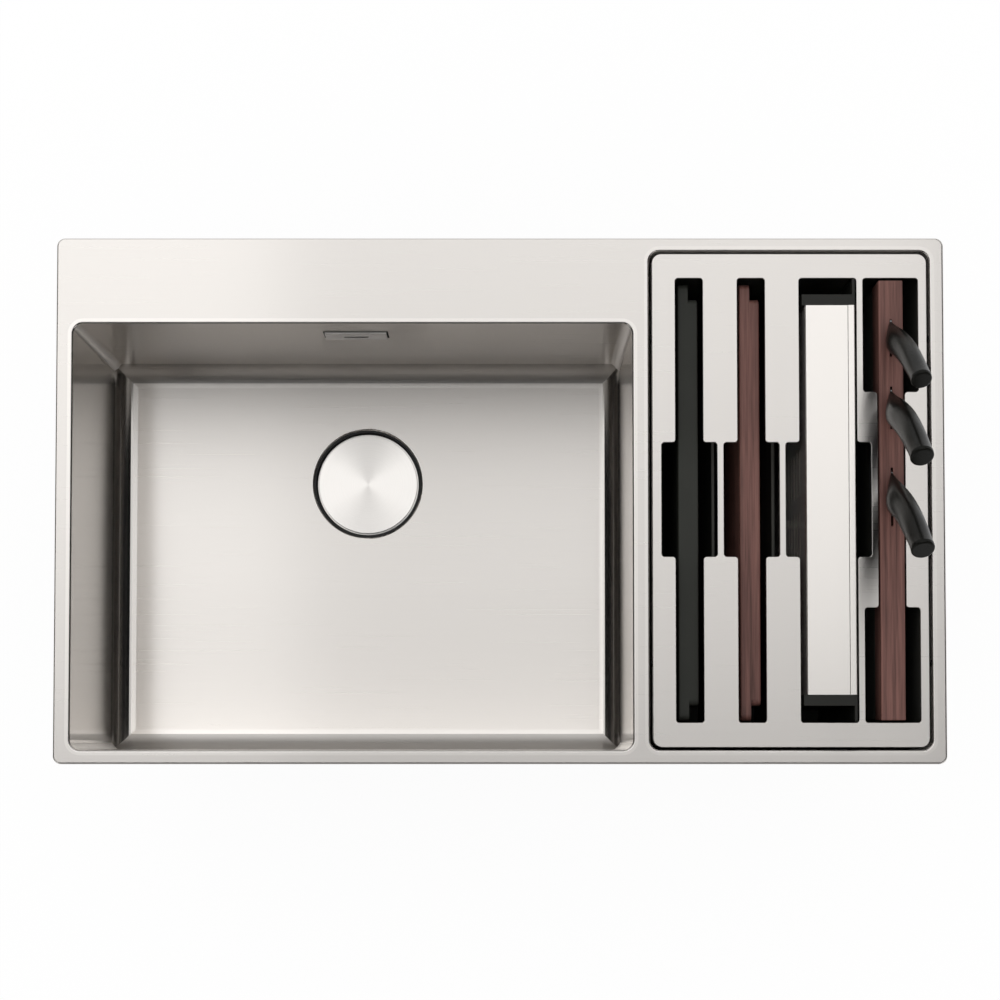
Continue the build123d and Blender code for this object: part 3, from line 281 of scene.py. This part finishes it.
# %% Finish the floor
lifted = 0.93
table_white, tree, shader = new_finish("table_white")
tone = noise(tree, own_place(tree), 3.0, 2.0)
white = colour_between(tree, tone, (0.90, 0.90, 0.90), (0.92, 0.92, 0.92))
join(tree, white, shader.inputs["Base Color"])
shader.inputs["Roughness"].default_value = 0.9
shader.inputs["Specular IOR Level"].default_value = 0.1
glow = add(tree, "ShaderNodeEmission")
glow.inputs["Strength"].default_value = 1.0
path = add(tree, "ShaderNodeLightPath")
mirrored = number_step(tree, "MAXIMUM", path.outputs["Is Glossy Ray"], path.outputs["Is Transmission Ray"])
seen = number_step(tree, "MAXIMUM", path.outputs["Is Camera Ray"], mirrored)
blend = add(tree, "ShaderNodeMixShader")
join(tree, number_step(tree, "MULTIPLY", seen, lifted), blend.inputs[0])
join(tree, shader.outputs[0], blend.inputs[1])
join(tree, glow.outputs[0], blend.inputs[2])
join(tree, blend.outputs[0], tree.nodes["Material Output"].inputs["Surface"])
floor.data.materials.append(table_white)

black_felt, tree, shader = new_finish("black_felt")
nap = noise(tree, own_place(tree), 60.0, 4.0)
felt = colour_between(tree, nap, (0.006, 0.006, 0.006), (0.014, 0.014, 0.014))
join(tree, felt, shader.inputs["Base Color"])
shader.inputs["Roughness"].default_value = 1.0
shader.inputs["Specular IOR Level"].default_value = 0.0
ceiling.data.materials.append(black_felt)
print("studio finished")

# %% [markdown]
# ## Brushed steel
# A belt leaves fine scratches in one direction. Along them the sheet is almost a
# mirror; across them every reflection is smeared. The finish therefore needs
# the direction of the scratches at each spot: along the sink's width on the
# deck, the floors and the rear and front walls, and front to back on the side
# walls. The bends are nearly black in the photograph. The black ceiling gives only
# part of that, so they also get painted shade, a darker tint, and those at the sides are smoother.
# Both, and the small differences of tint between the parts, are set for
# likeness: the real parts are one steel. The outside of the bowls is left dull.

# %% Brush the deck, the bowls and the plate
steel_low = (0.79, 0.757, 0.723)
steel_high = (0.82, 0.787, 0.751)
along_scratch = 4.0
across_scratch = 1300.0
scratch_change = 0.015
side_wall_from = 0.95
bend_below = 0.965
bend_above = 0.1
dull_roughness = 0.55
rim_above = 0.3


def steel_shade(tree, lines, tint):
    """The steel's colour, darker or lighter by a tint that paints light and shade."""
    low = tuple(tint * channel for channel in steel_low)
    high = tuple(tint * channel for channel in steel_high)
    return colour_between(tree, lines, low, high)


def dull_outside(tree, place, facing, upward, hollow):
    """1 on the outside of a bowl and 0 inside it, told from the bowl's middle."""
    from_middle = vector_step(tree, "SUBTRACT", place, hollow).outputs[0]
    outward = vector_step(tree, "DOT_PRODUCT", from_middle, facing).outputs["Value"]
    outside = number_step(tree, "GREATER_THAN", outward, 0.0)
    return number_step(tree, "MULTIPLY", outside, number_step(tree, "LESS_THAN", upward, rim_above))


def brushed_steel(name, tint, painted_bend_shade, roughness, wall_roughness, bend_roughness, hollow=None):
    """Belt-brushed sheet; hollow is the middle of a bowl whose outside stays dull."""
    finish, tree, shader = new_finish(name)
    place = own_place(tree)
    facing = add(tree, "ShaderNodeNewGeometry").outputs["Normal"]
    split = add(tree, "ShaderNodeSeparateXYZ")
    join(tree, facing, split.inputs[0])
    upward = split.outputs["Z"]
    turned = number_step(tree, "ABSOLUTE", split.outputs["X"])
    side_wall = number_step(tree, "GREATER_THAN", turned, side_wall_from)
    leaning = number_step(tree, "LESS_THAN", upward, bend_below)
    bend = number_step(tree, "MULTIPLY", leaning, number_step(tree, "GREATER_THAN", upward, bend_above))
    side_bend = number_step(tree, "MULTIPLY", bend, number_step(tree, "GREATER_THAN", turned, bend_above))

    scratch = add(tree, "ShaderNodeMix", data_type="VECTOR")
    scratch.inputs[4].default_value = (1.0, 0.0, 0.0)
    scratch.inputs[5].default_value = (0.0, 1.0, 0.0)
    join(tree, side_wall, scratch.inputs[0])
    across = vector_step(tree, "CROSS_PRODUCT", scratch.outputs[1], facing).outputs[0]
    streak = add(tree, "ShaderNodeMix", data_type="VECTOR")
    join(tree, side_wall, streak.inputs[0])
    join(tree, stretched(tree, place, (along_scratch, across_scratch, across_scratch)), streak.inputs[4])
    join(tree, stretched(tree, place, (across_scratch, along_scratch, across_scratch)), streak.inputs[5])
    lines = noise(tree, streak.outputs[1], 1.0, 2.0)

    # Painted shade: the bends take a darker tint of the steel.
    skin = add(tree, "ShaderNodeMix", data_type="RGBA")
    join(tree, bend, skin.inputs[0])
    join(tree, steel_shade(tree, lines, tint), skin.inputs[6])
    join(tree, steel_shade(tree, lines, painted_bend_shade), skin.inputs[7])
    join(tree, skin.outputs[2], shader.inputs["Base Color"])
    shader.inputs["Metallic"].default_value = 1.0
    shader.inputs["Anisotropic"].default_value = 1.0
    join(tree, across, shader.inputs["Tangent"])

    grain = spread_between(tree, lines, roughness - scratch_change, roughness + scratch_change)
    wall_polish = number_step(tree, "MULTIPLY", side_wall, roughness - wall_roughness)
    bend_polish = number_step(tree, "MULTIPLY", side_bend, roughness - bend_roughness)
    grain = number_step(tree, "SUBTRACT", grain, number_step(tree, "MAXIMUM", wall_polish, bend_polish))
    if hollow is not None:
        dull = dull_outside(tree, place, facing, upward, hollow)
        grain = number_step(tree, "MAXIMUM", grain, number_step(tree, "MULTIPLY", dull, dull_roughness))
    join(tree, grain, shader.inputs["Roughness"])
    relief(tree, shader, lines, strength=0.002, depth=0.0002)
    return finish


def middle(name):
    """The middle of a part's box."""
    low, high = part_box(name)
    return tuple((low + high) / 2)


# Painted light and shade: the four parts are one steel, given different tints.
give(brushed_steel("brushed_deck", tint=0.93, painted_bend_shade=0.75, roughness=0.28, wall_roughness=0.28,
                   bend_roughness=0.20), ["deck_plate", "organiser_plate"])
give(brushed_steel("brushed_bowl", tint=1.04, painted_bend_shade=0.60, roughness=0.28, wall_roughness=0.18,
                   bend_roughness=0.13, hollow=middle("main_bowl")), ["main_bowl"])
give(brushed_steel("brushed_tub", tint=1.0, painted_bend_shade=0.75, roughness=0.28, wall_roughness=0.22,
                   bend_roughness=0.20, hollow=middle("storage_tub")), ["storage_tub"])
give(brushed_steel("brushed_trough", tint=0.98, painted_bend_shade=0.98, roughness=0.22, wall_roughness=0.22,
                   bend_roughness=0.22), ["drain_trough"])

# %% [markdown]
# ## Spun steel
# The lid over the drain is turned on a lathe, so its scratches are circles and
# its highlights spread as two fans from the middle. The distance from the axis
# gives the rings, and the direction away from it gives the way across them.

# %% Spin the lid and the waste
ring_count = 900.0


def spun_steel(name, centre):
    """Steel with circular scratches round an upright axis."""
    finish, tree, shader = new_finish(name)
    outward = vector_step(tree, "SUBTRACT", own_place(tree), centre).outputs[0]
    flat = stretched(tree, outward, (1.0, 1.0, 0.0))
    distance = vector_step(tree, "LENGTH", flat, (0.0, 0.0, 0.0)).outputs["Value"]
    rings = add(tree, "ShaderNodeTexNoise", noise_dimensions="1D")
    rings.inputs["Scale"].default_value = ring_count
    rings.inputs["Detail"].default_value = 2.0
    join(tree, distance, rings.inputs["W"])
    turned = rings.outputs["Fac"]
    shade = colour_between(tree, turned, (0.80, 0.775, 0.745), (0.87, 0.845, 0.815))
    join(tree, shade, shader.inputs["Base Color"])
    shader.inputs["Metallic"].default_value = 1.0
    shader.inputs["Anisotropic"].default_value = 0.85
    join(tree, flat, shader.inputs["Tangent"])
    join(tree, spread_between(tree, turned, 0.28, 0.38), shader.inputs["Roughness"])
    return finish


give(spun_steel("spun_lid", middle("drain_lid")), ["drain_lid"])
give(spun_steel("spun_cup", middle("waste_cup")), ["waste_cup", "strainer_basket"])

# %% [markdown]
# ## Stamped steel
# The small fittings are stamped: the same steel, a little rougher, with no
# direction worth seeing. The blades are hidden in the photograph. Their darker and
# duller colour is painted shade, because bright ones glint beside the handles, where the
# photograph shows no glint. The screws of the plate are painted black as shade, because
# their heads glint in the gap round the plate.

# %% Stamp the fittings
mottle_grain = 260.0
mottle_change = 0.05


def stamped_steel(name, low, high, roughness):
    """Plain steel with a faint mottle."""
    finish, tree, shader = new_finish(name)
    mottle = noise(tree, own_place(tree), mottle_grain, 3.0)
    join(tree, colour_between(tree, mottle, low, high), shader.inputs["Base Color"])
    shader.inputs["Metallic"].default_value = 1.0
    worn = spread_between(tree, mottle, roughness - mottle_change, roughness + mottle_change)
    join(tree, worn, shader.inputs["Roughness"])
    return finish


give(stamped_steel("stamped_fittings", low=(0.66, 0.64, 0.62), high=(0.74, 0.72, 0.70), roughness=0.30),
     ["overflow_cover", "drain_grid", "clip_brackets", "spring_clips"])
give(stamped_steel("screw_steel", low=(0.56, 0.55, 0.54), high=(0.66, 0.65, 0.64), roughness=0.32),
     ["clip_screws", "clamp_screw", "overflow_screws", "grid_screw"])
# Painted shade: the screw heads are black so that no glint shows in the gap round the plate.
give(stamped_steel("painted_shade_screws", low=(0.02, 0.02, 0.02), high=(0.03, 0.03, 0.03), roughness=0.45),
     ["plate_screws"])
# Painted shade: the blades are darker and duller so that no glint shows beside the handles.
give(stamped_steel("blade_steel", low=(0.36, 0.36, 0.37), high=(0.42, 0.42, 0.43), roughness=0.42),
     ["chef_knife_blade", "utility_knife_blade", "paring_knife_blade"])

# %% [markdown]
# ## Plastics
# The waste body and the caps are black moulded plastic with a fine spark-eroded
# texture, and the tray is a very dark grey one. The pipes are grey and smoother.
# The knife handles are black too, but polished by hands, so they carry a soft
# sheen.

# %% Mould the plastics
cloud_grain = 25.0
skin_change = 0.06


def moulded(name, low, high, roughness, grain, depth, shine=0.5):
    """Moulded plastic with a fine pimpled skin."""
    finish, tree, shader = new_finish(name)
    place = own_place(tree)
    skin = noise(tree, place, grain, 3.0)
    cloud = noise(tree, place, cloud_grain, 2.0)
    join(tree, colour_between(tree, cloud, low, high), shader.inputs["Base Color"])
    worn = spread_between(tree, skin, roughness - skin_change, roughness + skin_change)
    join(tree, worn, shader.inputs["Roughness"])
    shader.inputs["Specular IOR Level"].default_value = shine
    relief(tree, shader, skin, strength=0.25, depth=depth)
    return finish


give(moulded("black_plastic", low=(0.012, 0.012, 0.010), high=(0.018, 0.018, 0.015),
             roughness=0.5, grain=1400.0, depth=0.0002, shine=0.25),
     ["overflow_housing", "waste_body", "drain_elbow", "trough_rear_cap", "trough_front_cap"])
give(moulded("tray_plastic", low=(0.070, 0.070, 0.062), high=(0.090, 0.090, 0.080),
             roughness=0.55, grain=1400.0, depth=0.0002, shine=0.25),
     ["organiser_tray", "tray_dividers", "tray_guides", "knife_sheath"])
give(moulded("grey_plastic", low=(0.30, 0.31, 0.31), high=(0.36, 0.37, 0.37),
             roughness=0.38, grain=900.0, depth=0.0001),
     ["overflow_pipe", "overflow_couplings", "link_pipe", "link_couplings"])
give(moulded("handle_plastic", low=(0.004, 0.004, 0.003), high=(0.006, 0.006, 0.005),
             roughness=0.28, grain=1800.0, depth=0.0001, shine=0.10),
     ["chef_knife_handle", "utility_knife_handle", "paring_knife_handle",
      "chef_knife_end", "utility_knife_end", "paring_knife_end"])

# %% [markdown]
# ## Rubber, foam and sound pads
# Seals, feet and the frame behind the overflow cover are matt black rubber. The
# black of the cup seal in the ring round the lid, and of the frame beside the cover,
# also paints the shade in those gaps. The strip under the rim is grey foam, and the
# pads that deaden the noise of running water are dark felted rubber. The same
# moulded skin serves, coarser and duller.

# %% Dress the soft parts
# Partly painted shade: the black cup seal and cover frame also darken the gaps round the lid and beside
# the overflow cover.
give(moulded("black_rubber", low=(0.012, 0.012, 0.012), high=(0.020, 0.020, 0.020),
             roughness=0.75, grain=800.0, depth=0.0002),
     ["cup_seal", "body_seal", "strainer_seal", "overflow_gasket", "cover_frame", "grid_seal",
      "elbow_seal", "tray_feet"])
give(moulded("grey_foam", low=(0.10, 0.10, 0.10), high=(0.16, 0.16, 0.16),
             roughness=0.90, grain=500.0, depth=0.0006),
     ["seal_strip"])
give(moulded("sound_pads", low=(0.045, 0.045, 0.048), high=(0.070, 0.070, 0.073),
             roughness=0.85, grain=350.0, depth=0.0008),
     ["bowl_floor_pad", "bowl_side_pads", "tub_floor_pad"])

# %% [markdown]
# ## Boards and knife block
# One board is a black paper composite, matt and very slightly speckled. The
# other board and the knife block are dark oiled wood: the rings of a tree are
# stretched along the length, and fine pores run the same way. A broad cloud makes
# some strips of the wood lighter than others.

# %% Finish the boards and the block
ring_stretch = (260.0, 5.0, 260.0)
pore_stretch = (900.0, 25.0, 900.0)
cloud_stretch = (40.0, 9.0, 40.0)
ring_share = 0.5
pore_share = 0.3
cloud_share = 0.2


def oiled_wood(name, low, high):
    """Dark wood with its grain along the length."""
    finish, tree, shader = new_finish(name)
    place = own_place(tree)
    rings = noise(tree, stretched(tree, place, ring_stretch), 1.0, 4.0)
    pores = noise(tree, stretched(tree, place, pore_stretch), 1.0, 2.0)
    cloud = noise(tree, stretched(tree, place, cloud_stretch), 1.0, 1.0)
    figure = number_step(tree, "MULTIPLY", rings, ring_share)
    figure = number_step(tree, "ADD", figure, number_step(tree, "MULTIPLY", pores, pore_share))
    figure = number_step(tree, "ADD", figure, number_step(tree, "MULTIPLY", cloud, cloud_share))
    join(tree, colour_between(tree, figure, low, high, start=0.3, end=0.72), shader.inputs["Base Color"])
    shader.inputs["Specular IOR Level"].default_value = 0.3
    join(tree, spread_between(tree, pores, 0.42, 0.58), shader.inputs["Roughness"])
    relief(tree, shader, pores, strength=0.15, depth=0.0002)
    return finish


give(oiled_wood("dark_wood", low=(0.040, 0.016, 0.013), high=(0.226, 0.103, 0.084)),
     ["wood_board", "knife_block"])
give(moulded("black_board", low=(0.022, 0.023, 0.019), high=(0.030, 0.031, 0.026),
             roughness=0.6, grain=1500.0, depth=0.0001, shine=0.25),
     ["black_board"])

# %% [markdown]
# ## Close the lesson
# The box of the dressed sink is compared with the box it came with, and whether
# it stayed the same is printed, so that anyone can see that nothing grew.

# %% Compare the sizes
same_within = 1e-5
new_low, new_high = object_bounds()
kept = all(abs(a - b) < same_within for a, b in zip((*cad_low, *cad_high), (*new_low, *new_high)))
print("size kept:", kept)
